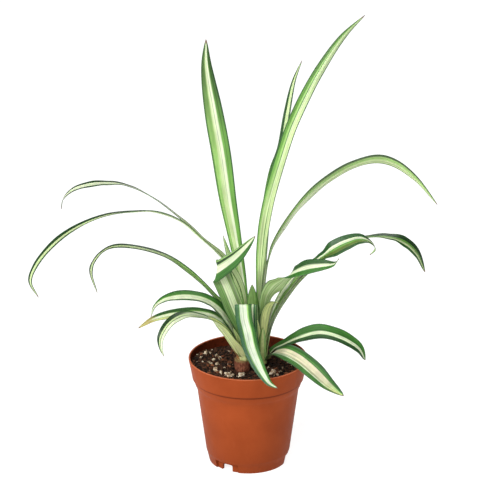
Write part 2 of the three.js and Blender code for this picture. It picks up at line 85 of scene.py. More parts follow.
# Where the pot's colour changes, in metres. Its outer face lies at FACE_FOOT plus slope times height
FACE_FOOT = 0.0342
WALL_SLOPE = 0.135
BAND_SLOPE = 0.1768
# The lip line bounds a painted highlight on the rim's lip, the groove lines a painted shade line under the
# band, and the inner band lines the inside of the band, painted dark with soil stain and painted shade
LIP_HIGHLIGHT = (0.0942, 0.0947)
GROOVE_SHADE_LOW = (0.0744, 0.0756)
GROOVE_SHADE_HIGH = (0.0769, 0.0765)
INNER_BAND_LOW = (0.0795, 0.081)
INNER_BAND_HIGH = (0.0949, 0.0938)

# Soil and the short stems that stand in it
GAP = 0.3
SOIL_GAP = 0.4
SOIL_LEVEL = 86
SOIL_ROUGHNESS = 1.1
SOIL_LUMPS = 46
SOIL_LUMP_REACH = 44
SOIL_SEED = 7
SOIL_EDGE_RADIUS = 47.5
SOIL_HEAP = 4.2
HEAP_LEFT = (8, 44)
HEAP_BACK = (0, 40)
SOIL_WAVES = ((0.9, 0.33, 3), (0.5, 0.9, 9))
GRAIN_REACH = 48.2
PEAT_CRUMBS = 5200
BARK_CHIPS = 260
PERLITE_GRAINS = 80
CROWNS = {
    "left": {"x": -5, "y": -11.2, "radius": 7.6, "top": 97.5},
    "right": {"x": 11.6, "y": 4.6, "radius": 7.8, "top": 89.5},
}
STEM_RINGS = 40
STEM_SIDES = 96
STEM_SUNK = 8

# Leaves
SHOOTS = {
    "left": (-1, -8, CROWNS["left"]["top"] + GAP),
    "right": (8, 5, CROWNS["right"]["top"] + GAP),
}
ROUTE_SAMPLES = 900
SHEATH_RISE = 3
TAPER_POWER = 0.7
WIDEST_SLANT = 1.3
LEAF_MIDDLE_THICKNESS = 0.62
LEAF_EDGE_THICKNESS = 0.3
LEAF_TIP_WIDTH = 0.45
LEAF_STEP = 1.5
LEAF_COLUMNS = 14
FEWEST_LEAF_RINGS = 24
SHEATH_REACH = 1.25
SHEATH_END = (0.05, 0.24)
TIP_FLATTENING = 0.6
RIPPLE = 0.22
LONG_RIPPLE = 11
SHORT_RIPPLE = 5.3
MIDRIB_DEPTH = 0.16
MIDRIB_WIDTH = 0.1
FLAT_HALF_WIDTH = 0.24

# Leaf colours
BAND_SOFTNESS = 0.035
LEAF_SEED_STEP = 3.7
BROWN_TIP_LENGTH = 0.016
DRY_TIP_LENGTH = 0.08


def srgb(red, green, blue):
    """A colour on the 0 to 255 scale as the linear one that the shader takes."""
    linear = []
    for value in (red, green, blue):
        value /= 255
        linear.append(value / 12.92 if value <= 0.04045 else ((value + 0.055) / 1.055) ** 2.4)
    return (*linear, 1.0)


DARK = srgb(40, 84, 38)
DEEP = srgb(28, 60, 28)
BLUE = srgb(46, 92, 64)
GREEN = srgb(58, 116, 42)
FRESH = srgb(108, 160, 70)
LIGHT = srgb(158, 200, 114)
OLIVE = srgb(92, 116, 48)
GREY = srgb(128, 152, 104)
PALE = srgb(204, 222, 164)
LEMON = srgb(216, 224, 148)
CREAM = srgb(224, 233, 199)
PINK = srgb(224, 216, 184)
WHITE = srgb(220, 230, 208)
BASE = srgb(238, 242, 172)
BASE_LINE = srgb(192, 214, 124)
VEIN = srgb(158, 178, 134)
RIB = srgb(104, 132, 78)
BROWN = srgb(110, 76, 54)
STRAW = srgb(180, 164, 96)
HUSK = srgb(188, 132, 84)
EARTH = srgb(58, 38, 24)


@dataclass
class Leaf:
    """The shape of one leaf and its colours.

    The sheath stands on a ring round its shoot and is as wide as the neck. The blade has its full
    width from the share "opened" of its length, and each half of it is bent up by "channel". A point
    of the route is (reach, height, rise, turn): rise lifts the blade's left edge, and turn swings the
    line across it. "drift" shifts the first points to the left. "wrap" is how much further than the
    solid the sheath goes round.

    A band of the upper face is (where it ends, its colour), from the leaf's right edge at -1 to its
    left edge at 1, as one looks out along it. The later bands take over further along.
    """

    name: str
    shoot: str
    heading: float
    ring: float
    neck: float
    width: float
    opened: float
    channel: float
    route: tuple
    bands: tuple
    drift: tuple = ()
    taper: float = 0.42
    wrap: float = 1.9
    creased: bool = False
    later: tuple = ()
    later_from: tuple = (0.4, 0.7)
    under: float = 0.5
    under_ink: tuple = PALE
    hatch: float = 0.5
    ribs: float = 0.45
    shade: float = 0
    base_share: float = 0.2
    foot: float = 0
    tip: tuple = BROWN
    tip_start: float = 0.985


# Each leaf is its name, shoot, heading, ring, neck, width, opened and channel, and the rest by name
LEAVES = [
    Leaf("leaf_tall_left", "right", 130, 2, 3.2, 16.8, 0.66, 20, taper=0.3,
         route=((5, 112), (9, 120, 0, -10), (16, 140, 0, -25), (21, 162, 0, -35), (27, 183, 0, -38),
                (33, 204, 0, -38), (39, 225, 0, -38), (48, 265, 0, -38), (57, 297, 0, -38), (67, 338, 0, -38),
                (67.5, 361, 0, -38)),
         bands=((-0.85, GREEN), (-0.38, FRESH), (0, CREAM), (0.5, PALE), (0.85, LIGHT), (1, FRESH)),
         later=((-0.84, DARK), (-0.3, FRESH), (0.14, CREAM), (0.34, PALE), (0.84, LIGHT), (1, GREEN)),
         shade=0.8),
    Leaf("leaf_tall_right", "right", 25, 1.5, 2.6, 10.4, 0.4, 38, taper=0.3,
         route=((1.7, 117), (2, 145, 0, 20), (2.5, 165, 0, 35), (4, 190, 0, 45), (6.5, 212, 0, 50),
                (11.5, 236, 0, 50), (23.5, 274, 0, 50), (32, 297, 0, 50), (54, 337, 0, 48), (78, 368, 0, 45),
                (99, 385, 0, 40)),
         bands=((-0.86, GREY), (-0.3, PALE), (-0.2, GREEN), (0.5, PALE), (0.8, LIGHT), (1, FRESH)),
         later=((-0.86, DARK), (-0.08, PALE), (0, CREAM), (0.1, GREEN), (0.44, LIGHT), (0.84, FRESH),
                (1, GREEN)), later_from=(0.36, 0.56), shade=0.6),
    Leaf("leaf_thin_right", "right", 66, 3.1, 2.2, 8, 0.5, 30,
         route=((4.2, 112), (7.5, 135, 0, 5), (11, 165, 0, 15), (14, 195, 0, 20), (18, 218, 0, 20),
                (26, 238, 0, 20), (35, 252, 0, 20), (50, 266, 0, 20), (62, 294, 0, 20), (76, 318, 0, 15),
                (94, 332, 0, 10)),
         bands=((-0.7, GREY), (0.1, PALE), (1, FRESH)),
         later=((-0.5, DARK), (0.3, PALE), (1, DARK)), later_from=(0.5, 0.7)),
    Leaf("leaf_arch_right", "right", 12, 3.8, 3.4, 13, 0.4, 16,
         route=((4.6, 122), (5.8, 150, -10), (7.4, 168, -25), (10, 182, -45), (14.6, 195, -55),
                (25, 212, -58), (39, 230, -58), (59, 248, -58), (81, 260, -58), (103, 264.5, -58),
                (120, 259, -58), (138, 244, -55), (157, 220, -50)),
         bands=((-0.84, OLIVE), (-0.5, LIGHT), (0.76, CREAM), (1, GREY)),
         later=((-0.62, DEEP), (-0.1, LIGHT), (0.76, PALE), (1, OLIVE)), later_from=(0.46, 0.64), under=0.15),
    Leaf("leaf_arch_upper_left", "left", 158, 1.5, 3, 13.5, 0.42, 6,
         route=((1.7, 130), (2.2, 150), (6, 165, 5), (13, 177, 6), (22, 187, 12), (43, 202, 24),
                (61, 216, 28), (86, 231, 28), (109, 238.5, 20), (128, 238.5, -2), (147, 234.5, -25),
                (162, 227.5, -38), (170.5, 218, -40), (172.5, 209, -35)),
         bands=((-0.74, GREY), (0.74, PALE), (1, OLIVE)),
         later=((-0.3, DEEP), (0.62, CREAM), (1, DEEP)), later_from=(0.46, 0.6), under=0.15),
    Leaf("leaf_arch_long_left", "left", 192, 2.6, 4, 13.5, 0.45, 15,
         route=((3.4, 128), (5, 147), (10.5, 162, 4), (16, 178, 8), (22, 191, 10), (40, 210, 14),
                (57, 226, 18), (80, 236, 20), (93, 237, 20), (120, 235.5, 12), (149, 224.5),
                (169.5, 208.5, -4, 12), (180.5, 193.5, -2, 26), (184, 182, 0, 42), (177.5, 167.5, 0, 50)),
         drift=(0, 0, 0.5, 1, 1.4, 1),
         bands=((-0.74, GREY), (0.6, PALE), (1, OLIVE)),
         later=((-0.16, DEEP), (0.6, PALE), (1, DEEP)), later_from=(0.36, 0.5), under=0.15),
    Leaf("leaf_arch_lower_left", "left", 172, 3.7, 5, 10.5, 0.4, 10,
         route=((4.4, 114), (6.6, 127), (13, 139), (27, 152), (39, 164.5, 2), (51, 174.8, 4), (70, 187, 4),
                (98, 193.3), (113, 193, 2), (122, 189, 8, 15), (131, 179, 0, 25), (134, 169, 0, 48),
                (129, 150, 0, 55)),
         bands=((-0.6, GREEN), (0.1, LIGHT), (0.3, GREEN), (0.8, LIGHT), (1, OLIVE)),
         later=((-0.2, DEEP), (0.5, PALE), (1, DEEP)), later_from=(0.44, 0.6), under=0.15),
    Leaf("leaf_folded_back", "left", 235, 4.8, 6.5, 16.5, 0.4, 8, creased=True,
         route=((6, 110, 8, 10), (9, 126, 18, 25), (14.8, 150, 25, 35), (18.8, 166, 30, 35),
                (22, 176.5, 45, 35), (25.4, 181.5, 80, 35), (26, 184.5, 110, 35), (23.8, 188.5, 126, 35),
                (19.6, 195.5, 133, 35), (15, 204, 133, 35), (9.9, 214.5, 133, 35)),
         drift=(1.6, 2, -3.8, -8.2, -11.6, -12.8, -9.6, -5, 2.1, 8.7, 15.5),
         bands=((-0.26, GREEN), (0.44, CREAM), (0.5, LIGHT), (0.85, DEEP), (1, LIGHT)),
         under=0.34, base_share=0.12),
    Leaf("leaf_small_upright", "right", 119, 3.4, 2.2, 10, 0.3, 28, taper=0.75,
         route=((7.9, 110, 0, -10), (17.4, 129, 0, -20), (31, 145, 0, -25), (52, 171, 0, -25),
                (61, 184, 0, -25)),
         bands=((-0.8, GREEN), (-0.2, LIGHT), (-0.1, DARK), (0.8, PALE), (1, GREEN)), base_share=0.1),
    Leaf("leaf_front_fold", "left", 270, 5.9, 6, 14, 0.35, 3,
         route=((8, 106), (13, 122), (16, 140), (17.4, 150), (18.6, 153.6), (20.4, 153.4), (21.4, 149.5),
                (22.4, 143), (26, 131), (30, 120), (38, 110.5), (48, 101.4), (54, 96.6), (58, 94)),
         drift=(0, -1, -2.4, -3, -3.2, -3.2, -3, -2.5, 0.5, 3.1, 7.8, 14.2, 19.2, 26),
         bands=((-0.5, BLUE), (-0.38, FRESH), (0.44, WHITE), (0.58, LIGHT), (1, GREEN)), hatch=0.9, ribs=0.2),
    Leaf("leaf_front_narrow", "right", 250, 3.9, 3.6, 7.5, 0.3, 4,
         route=((5.6, 106), (9, 125, 0, 8), (12.5, 140, 0, 15), (13.8, 145.8, 0, 15), (15.3, 147, 0, 15),
                (16.7, 143.5, 0, 15), (17.6, 132, 0, 15), (18.3, 113, 0, 15), (18.8, 94, 0, 15)),
         drift=(0, 0.5, 1.2, 1.4, 1.5, 1.6, 2.2, 4.8, 9.6),
         bands=((-0.25, BLUE), (0.2, CREAM), (0.6, BLUE), (0.7, LIGHT), (1, DARK))),
    Leaf("leaf_curl_left", "left", 200, 6, 6, 14.5, 0.4, 14,
         route=((7.6, 108, 0, -15), (11, 122, -10, -38), (17, 134.5, -18, -42), (25, 146, -24, -32),
                (35, 154.6, -22, -14), (48, 160.2, -18), (62, 162.3, -16), (74, 161, -8), (82, 156, 5),
                (85.5, 147, 20)),
         bands=((-0.8, DARK), (-0.3, GREEN), (-0.2, LIGHT), (0.7, CREAM), (1, DARK)), base_share=0.26),
    Leaf("leaf_low_left", "left", 210, 7.2, 7, 12, 0.4, 12,
         route=((8.4, 106, 0, -15), (11, 115, -10, -35), (17, 128, -20, -42), (31, 141, -26, -28),
                (44, 147, -26, -8), (59, 150.5, -24), (76, 152, -24), (90, 151, -20), (104, 146, -15)),
         bands=((-0.45, DARK), (-0.3, FRESH), (0.3, CREAM), (0.42, GREEN), (1, LEMON)),
         base_share=0.3, tip=STRAW, tip_start=0.84),
    Leaf("leaf_drooping_left", "left", 230, 8.4, 7, 12, 0.4, 12,
         route=((10, 103, 0, 5), (15, 111, 0, 12), (29, 130, -4, 12), (41, 143, -10, 4), (53, 151, -15),
                (73, 160, -15), (88, 162, -10), (101, 159), (109.5, 151), (110.5, 146), (109, 139),
                (106, 133)),
         bands=((-0.5, GREEN), (0.3, CREAM), (0.42, GREEN), (0.86, PALE), (1, GREEN)),
         later=((-0.2, DEEP), (0.1, PALE), (0.3, DARK), (0.8, CREAM), (1, CREAM)),
         later_from=(0.55, 0.7), under_ink=LEMON, base_share=0.46),
    Leaf("leaf_twisted_right", "right", -28, 4.8, 6, 17, 0.34, 10,
         route=((5.6, 110), (6.8, 132, -12), (9.4, 149, -45), (16, 160, -60), (25, 168.5, -30), (35, 177, 28),
                (48, 184, 52), (62, 188.3, 52), (73, 191.5, 35), (77, 197, 10)),
         bands=((-0.3, GREEN), (0.38, WHITE), (1, DARK)),
         later=((-0.3, GREEN), (0.3, CREAM), (1, DARK)), under=0.8, base_share=0.1),
    Leaf("leaf_curl_right", "right", 5, 7.1, 6.4, 17.5, 0.7, 14,
         route=((7.8, 106), (9.8, 120), (13, 134), (22, 152, -6), (35, 168.5, -14), (46, 176.5, -14),
                (56, 183, 2), (66, 190, 42), (76, 195, 46), (87, 198, 36), (96, 195, 12), (100.5, 188.5),
                (96, 183)),
         bands=((-0.84, LIGHT), (-0.2, PALE), (-0.1, GREEN), (0.5, CREAM), (1, LIGHT)),
         later=((-0.62, DARK), (-0.2, OLIVE), (-0.02, FRESH), (0.06, GREEN), (0.4, CREAM), (1, DARK)),
         later_from=(0.5, 0.64), under=0.7),
    Leaf("leaf_arch_lower_right", "right", 16, 8.2, 7, 14.5, 0.4, 16, taper=0.3,
         route=((9.4, 104), (13, 122), (19.5, 136), (29, 150), (42, 165), (56, 176.5), (78, 188, -8),
                (100, 192, -14), (118, 190, 2, -8), (132, 184, 22, -30), (143, 173, 22, -52),
                (151, 154.5, 10, -60)),
         bands=((-0.84, LIGHT), (-0.1, CREAM), (0, GREEN), (0.4, CREAM), (0.84, LIGHT), (1, GREY)),
         later=((-0.5, DARK), (-0.1, PALE), (0, DARK), (0.3, FRESH), (1, DEEP)),
         later_from=(0.6, 0.72), under=0.7),
    Leaf("leaf_short_right", "right", -50, 6, 3, 12.5, 0.75, 16,
         route=((7.4, 106), (9, 122), (11.6, 136, -8), (15.6, 145, -18), (21, 150, -22), (27.6, 150.5, -15)),
         bands=((-0.8, DARK), (0.2, LEMON), (0.28, GREEN), (0.8, LEMON), (1, DARK)),
         under=0.25, under_ink=LEMON, base_share=0.12),
    Leaf("leaf_low_right", "right", 5, 9.6, 8, 15, 0.5, 12, taper=0.34, wrap=1.2,
         route=((10.8, 95), (14.4, 99.6), (23, 104, 12), (31, 108, 24), (42, 112.2, 34), (54, 114.2, 37),
                (67, 111, 35), (78.5, 105.2, 30, -15), (88.5, 97, 20, -40), (93.5, 86, 10, -55)),
         bands=((-0.8, DEEP), (-0.4, DARK), (0.08, CREAM), (1, GREEN)), base_share=0.07, foot=0.07),
    Leaf("leaf_broad_low_right", "right", -38, 10.8, 9, 18, 0.34, 10, wrap=1,
         route=((12, 93.4), (15.2, 98.4), (20, 102.4, 12), (29, 105, 22), (44, 102.6, 24), (60, 95.6, 24),
                (76, 87, 22), (92, 81, 20)),
         bands=((-0.55, GREEN), (-0.4, CREAM), (-0.33, OLIVE), (0.42, PINK), (0.8, GREEN), (1, DARK)),
         later=((-0.6, OLIVE), (-0.1, LEMON), (0.3, LIGHT), (0.7, GREEN), (1, DARK)),
         later_from=(0.74, 0.96), base_share=0.07, foot=0.07, tip=STRAW),
]

# Short scales round the feet of the shoots, which stand for no node of the solids
SCALES = [
    Leaf("scale_left_front", "left", 243, 8.6, 8, 8, 0.5, 30, taper=0.85, wrap=1,
         route=((10, 105), (13, 114), (18, 124), (25, 134)),
         bands=((-0.7, GREEN), (0.1, BASE), (0.2, GREEN), (0.7, LEMON), (1, GREEN)), under=0.2),
    Leaf("scale_left_side", "left", 214, 8.4, 8, 8, 0.5, 30, taper=0.85, wrap=1.1,
         route=((9.8, 103, 0, -20), (13, 112, 0, -25), (18.6, 123, 0, -30), (26, 132.6, 0, -30)),
         bands=((-0.4, BASE), (-0.3, GREEN), (0.5, BASE), (0.6, GREEN), (1, LEMON)), under=0.2),
    Leaf("scale_right_front", "right", 268, 7.9, 9, 8.4, 0.5, 40, taper=0.6,
         route=((8.4, 100), (9.8, 112), (11.6, 124), (13.4, 133)),
         bands=((-0.5, LEMON), (-0.4, GREEN), (0.2, LIGHT), (0.3, GREEN), (1, LEMON)), under=0.2),
    Leaf("scale_right_side", "right", 294, 11.4, 8, 8, 0.5, 34, taper=0.6, wrap=1.1,
         route=((11.4, 98), (11.2, 110), (11.4, 124)),
         bands=((-0.5, FRESH), (0.3, LEMON), (0.4, GREEN), (1, LIGHT)), under=0.2),
    Leaf("scale_right_back", "right", 200, 4.2, 8, 12, 0.4, 20, taper=0.4,
         route=((4.2, 112, 0, 50), (4.3, 134, 0, 66), (4.4, 148, 0, 70), (4.8, 160, 0, 70)),
         bands=((-0.7, FRESH), (0.6, LIGHT), (1, FRESH)), under=0.1, base_share=0.03),
    Leaf("dry_scale_left", "left", 206, 8.6, 8, 9, 0.3, 30, taper=0.8,
         route=((10.2, 102.6), (12.6, 106.6), (14.4, 109.4)),
         bands=((-0.5, BROWN), (0.4, HUSK), (1, BROWN)), under=0, base_share=0.03, tip_start=0.8),
]


def smoothstep(value, low, high):
    share = min(1.0, max(0.0, (value - low) / (high - low)))
    return share * share * (3 - 2 * share)


def lerp(first, second, share):
    return first + (second - first) * share


def polar(radius, angle):
    return (radius * cos(angle), radius * sin(angle))


class Shader:
    """A node material that ends in one Principled shader."""

    def __init__(self, name, roughness, specular, **more):
        self.material = bpy.data.materials.new(name)
        self.material.use_nodes = True
        self.tree = self.material.node_tree
        self.surface = self.tree.nodes["Principled BSDF"]
        self.surface.inputs["Roughness"].default_value = roughness
        self.surface.inputs["Specular IOR Level"].default_value = specular
        for name, value in more.items():
            self.surface.inputs[name.replace("_", " ").title()].default_value = value

    def feed(self, socket, value):
        if isinstance(value, bpy.types.NodeSocket):
            self.tree.links.new(value, socket)
        else:
            socket.default_value = value

    def node(self, kind, *values, **settings):
        """A new node, with its settings made and its first inputs fed with the values."""
        made = self.tree.nodes.new("ShaderNode" + kind)
        for name, value in settings.items():
            setattr(made, name, value)
        for socket, value in zip(made.inputs, values):
            self.feed(socket, value)
        return made

    def math(self, operation, first, second=0.0):
        return self.node("Math", first, second, operation=operation).outputs[0]

    def times(self, first, second):
        return self.math("MULTIPLY", first, second)

    def plus(self, first, second):
        return self.math("ADD", first, second)

    def minus(self, first, second):
        return self.math("SUBTRACT", first, second)

    def step(self, value, low, high, start=0.0, end=1.0):
        """Rises smoothly from start to end as the value goes from low to high."""
        made = self.node("MapRange", value, low, high, start, end, interpolation_type="SMOOTHSTEP")
        return made.outputs[0]

    def mix(self, share, first, second, blend="MIX"):
        made = self.node("Mix", share, data_type="RGBA", blend_type=blend)
        self.feed(made.inputs[6], first)
        self.feed(made.inputs[7], second)
        return made.outputs[2]

    def tint(self, colour, ink, value, low, high, most=1.0, blend="MIX"):
        """Lays an ink over a colour, more of it as the value goes from low to high."""
        return self.mix(self.step(value, low, high, 0.0, most), colour, ink, blend)

    def darken(self, colour, tone):
        return self.mix(1.0, colour, self.place(tone, tone, tone), "MULTIPLY")

    def place(self, across, along, third):
        return self.node("CombineXYZ", across, along, third).outputs[0]

    def split(self, vector):
        return self.node("SeparateXYZ", vector).outputs

    def noise(self, place, scale, detail, roughness=0.5):
        return self.node("TexNoise", place, 0.0, scale, detail, roughness).outputs[0]

    def object_place(self):
        return self.node("TexCoord").outputs["Object"]

    def bump(self, height, distance, strength):
        made = self.node("Bump", strength, distance)
        self.feed(made.inputs["Height"], height)
        self.feed(self.surface.inputs["Normal"], made.outputs[0])

    def finish(self, colour, roughness=None):
        self.feed(self.surface.inputs["Base Color"], colour)
        if roughness is not None:
            self.feed(self.surface.inputs["Roughness"], roughness)
        return self.material


def new_object(name, data):
    made = bpy.data.objects.new(name, data)
    bpy.context.collection.objects.link(made)
    return made


def new_mesh(name, points, faces):
    """A mesh from points in millimetres."""
    mesh = bpy.data.meshes.new(name)
    mesh.from_pydata([tuple(c * MM for c in point) for point in points], [], faces)
    mesh.validate()
    return mesh


def mesh_piece(name, points, faces, material, smooth=True, node=None):
    """A piece of the object, which may stand for a node of the solids."""
    mesh = new_mesh(name, points, faces)
    mesh.update()
    piece = new_object(name, mesh)
    mesh.materials.append(material)
    mesh.polygons.foreach_set("use_smooth", [smooth] * len(mesh.polygons))
    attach(piece, "root")
    if node:
        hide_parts(node)
    return piece


# Leaf shapes

def catmull_rom(points, samples):
    """The centripetal Catmull-Rom curve through the points, at equal steps of its parameter."""
    count = len(points)
    places = np.linspace(0, count - 1, samples)
    curve = []
    for place in places:
        row = min(int(place), count - 2)
        part = place - row
        p1, p2 = points[row], points[row + 1]
        p0 = points[row - 1] if row > 0 else 2 * points[0] - points[1]
        p3 = points[row + 2] if row + 2 < count else 2 * points[-1] - points[-2]
        d0, d1, d2 = (max(np.linalg.norm(b - a), 1e-4) ** 0.5 for a, b in ((p0, p1), (p1, p2), (p2, p3)))
        t1 = ((p1 - p0) / d0 - (p2 - p0) / (d0 + d1) + (p2 - p1) / d1) * d1
        t2 = ((p2 - p1) / d1 - (p3 - p1) / (d1 + d2) + (p3 - p2) / d2) * d1
        curve.append(p1 + t1 * part + (-3 * p1 + 3 * p2 - 2 * t1 - t2) * part ** 2
                     + (2 * p1 - 2 * p2 + t1 + t2) * part ** 3)
    return places, np.array(curve)


class LeafRoute:
    """A leaf's middle line, its direction and the line across the blade, at any share of its length."""

    def __init__(self, leaf):
        x, y, base = SHOOTS[leaf.shoot]
        self.heading = radians(leaf.heading)
        ahead = np.array([cos(self.heading), sin(self.heading), 0])
        left = np.array([-sin(self.heading), cos(self.heading), 0])
        rows = [(leaf.ring, base), (leaf.ring, base + SHEATH_RISE), *leaf.route]
        drifts = [0, 0, *leaf.drift] + [0] * len(rows)
        points = [
            np.array([x, y, row[1]]) + ahead * row[0] + left * drift for row, drift in zip(rows, drifts)
        ]
        self.places, self.line = catmull_rom(points, ROUTE_SAMPLES)
        steps = np.linalg.norm(np.diff(self.line, axis=0), axis=1)
        lengths = np.concatenate([[0], np.cumsum(steps)])
        self.length = lengths[-1]
        self.shares = lengths / self.length
        self.rises = [row[2] if len(row) > 2 else 0 for row in rows]
        self.turns = [row[3] if len(row) > 3 else 0 for row in rows]

    def point(self, share):
        return np.array([np.interp(share, self.shares, self.line[:, axis]) for axis in range(3)])

    def along(self, share):
        step = 0.6 / self.length
        ahead = self.point(min(1, share + step)) - self.point(max(0, share - step))
        return ahead / np.linalg.norm(ahead)

    def across(self, share):
        place = np.interp(share, self.shares, self.places)
        row = min(int(place), len(self.turns) - 2)
        part = smoothstep(place - row, 0, 1)
        azimuth = self.heading + pi / 2 + radians(lerp(self.turns[row], self.turns[row + 1], part))
        lift = radians(lerp(self.rises[row], self.rises[row + 1], part))
        return np.array([cos(azimuth) * cos(lift), sin(azimuth) * cos(lift), sin(lift)])


def sheath_bend(leaf):
    return leaf.neck / 2 / leaf.ring


def sheath_wrap(leaf, share):
    """How much further than in the solid the sheath reaches round its shoot, at the leaf's foot."""
    widest = min(leaf.wrap, SHEATH_REACH / sheath_bend(leaf))
    return lerp(widest, 1, smoothstep(share, *SHEATH_END))


def leaf_width(leaf, share):
    full = lerp(leaf.neck, leaf.width, smoothstep(share, 0.02, leaf.opened)) * sheath_wrap(leaf, share)
    taper = sin(min(1, (1 - share) / leaf.taper) * pi / 2) ** TAPER_POWER
    return max(LEAF_TIP_WIDTH, full * taper)


def leaf_bend(leaf, share):
    blade = radians(leaf.channel) * (1 - TIP_FLATTENING * smoothstep(share, 0.6, 1))
    return lerp(sheath_bend(leaf), blade, smoothstep(share, 0.03, 0.3)) * sheath_wrap(leaf, share)


def leaf_section(leaf, route, share, phase):
    """The points round the blade at one share of its length: the upper face, then the under face."""
    centre = route.point(share)
    along = route.along(share)
    edge = route.across(share)
    if not leaf.creased:
        edge = edge - along * edge.dot(along)
        edge /= np.linalg.norm(edge)
    face = np.cross(along, edge)
    slant = max(np.linalg.norm(face), 1 / WIDEST_SLANT)
    face /= np.linalg.norm(face)
    bend = leaf_bend(leaf, share)
    radius = leaf_width(leaf, share) / 2 / bend
    free = smoothstep(share, 0.1, 0.35) * (1 - smoothstep(share, 0.9, 1))
    at = share * route.length
    section = []
    for side in (1, -1):
        for column in range(LEAF_COLUMNS + 1):
            place = 2 * column / LEAF_COLUMNS - 1
            thickness = lerp(LEAF_MIDDLE_THICKNESS, LEAF_EDGE_THICKNESS, place * place)
            offset = side * thickness / 2
            angle = bend * place
            out = (radius - offset) * sin(angle) / slant
            lift = radius - (radius - offset) * cos(angle)
            ripple = sin(at / LONG_RIPPLE + phase + place * 1.3)
            ripple += 0.6 * sin(at / SHORT_RIPPLE + 2 * phase - place)
            lift += RIPPLE * free * ripple * place * place
            lift -= MIDRIB_DEPTH * free * exp(-(place / MIDRIB_WIDTH) ** 2)
            section.append(centre + edge * out + face * lift)
    return section


def leaf_piece(leaf, material):
    route = LeafRoute(leaf)
    rings = max(FEWEST_LEAF_RINGS, int(route.length / LEAF_STEP))
    phase = sum(map(ord, leaf.name)) % 17
    shares = [ring / rings for ring in range(rings + 1)]
    points = [point for share in shares for point in leaf_section(leaf, route, share, phase)]
    row = LEAF_COLUMNS + 1
    ring_size = 2 * row
    faces = []
    places = []

    def spot(index, side):
        """Where a point lies on the flattened leaf: the upper face left, the under face right."""
        ring, column = divmod(index, ring_size)
        across = 2 * (column % row) / LEAF_COLUMNS - 1
        return (0.25 + 0.5 * side + FLAT_HALF_WIDTH * across, shares[ring])

    def quad(corners, side):
        faces.append(corners)
        places.extend(spot(corner, side) for corner in corners)

    for ring in range(rings):
        here = ring * ring_size
        after = here + ring_size
        for column in range(LEAF_COLUMNS):
            quad((here + column, after + column, after + column + 1, here + column + 1), 0)
            low = row + column
            quad((here + low, here + low + 1, after + low + 1, after + low), 1)
        quad((here, here + row, after + row, after), 1)
        quad((here + row - 1, after + row - 1, after + 2 * row - 1, here + 2 * row - 1), 1)
    last = rings * ring_size
    for column in range(LEAF_COLUMNS):
        quad((column, column + 1, row + column + 1, row + column), 1)
        quad((last + column, last + row + column, last + row + column + 1, last + column + 1), 1)
    node = leaf.name if leaf in LEAVES else None
    piece = mesh_piece("blade_" + leaf.name, points, faces, material, node=node)
    layer = piece.data.uv_layers.new(name="flat")
    layer.data.foreach_set("uv", [value for place in places for value in place])


def band_colours(shader, place, bands):
    """The colour of each band, with soft borders, for a place from -1 to 1."""
    ramp = shader.node("ValToRGB")
    stops = []
    start = -1
    for end, ink in bands:
        stops += [(start + BAND_SOFTNESS, ink), (end - BAND_SOFTNESS, ink)]
        start = end
    elements = ramp.color_ramp.elements
    while len(elements) < len(stops):
        elements.new(0.5)
    for element, (at, ink) in zip(elements, sorted(stops, key=lambda stop: stop[0])):
        element.position = (at + 1) / 2
        element.color = ink
    shader.feed(ramp.inputs[0], shader.plus(shader.times(place, 0.5), 0.5))
    return ramp.outputs[0]


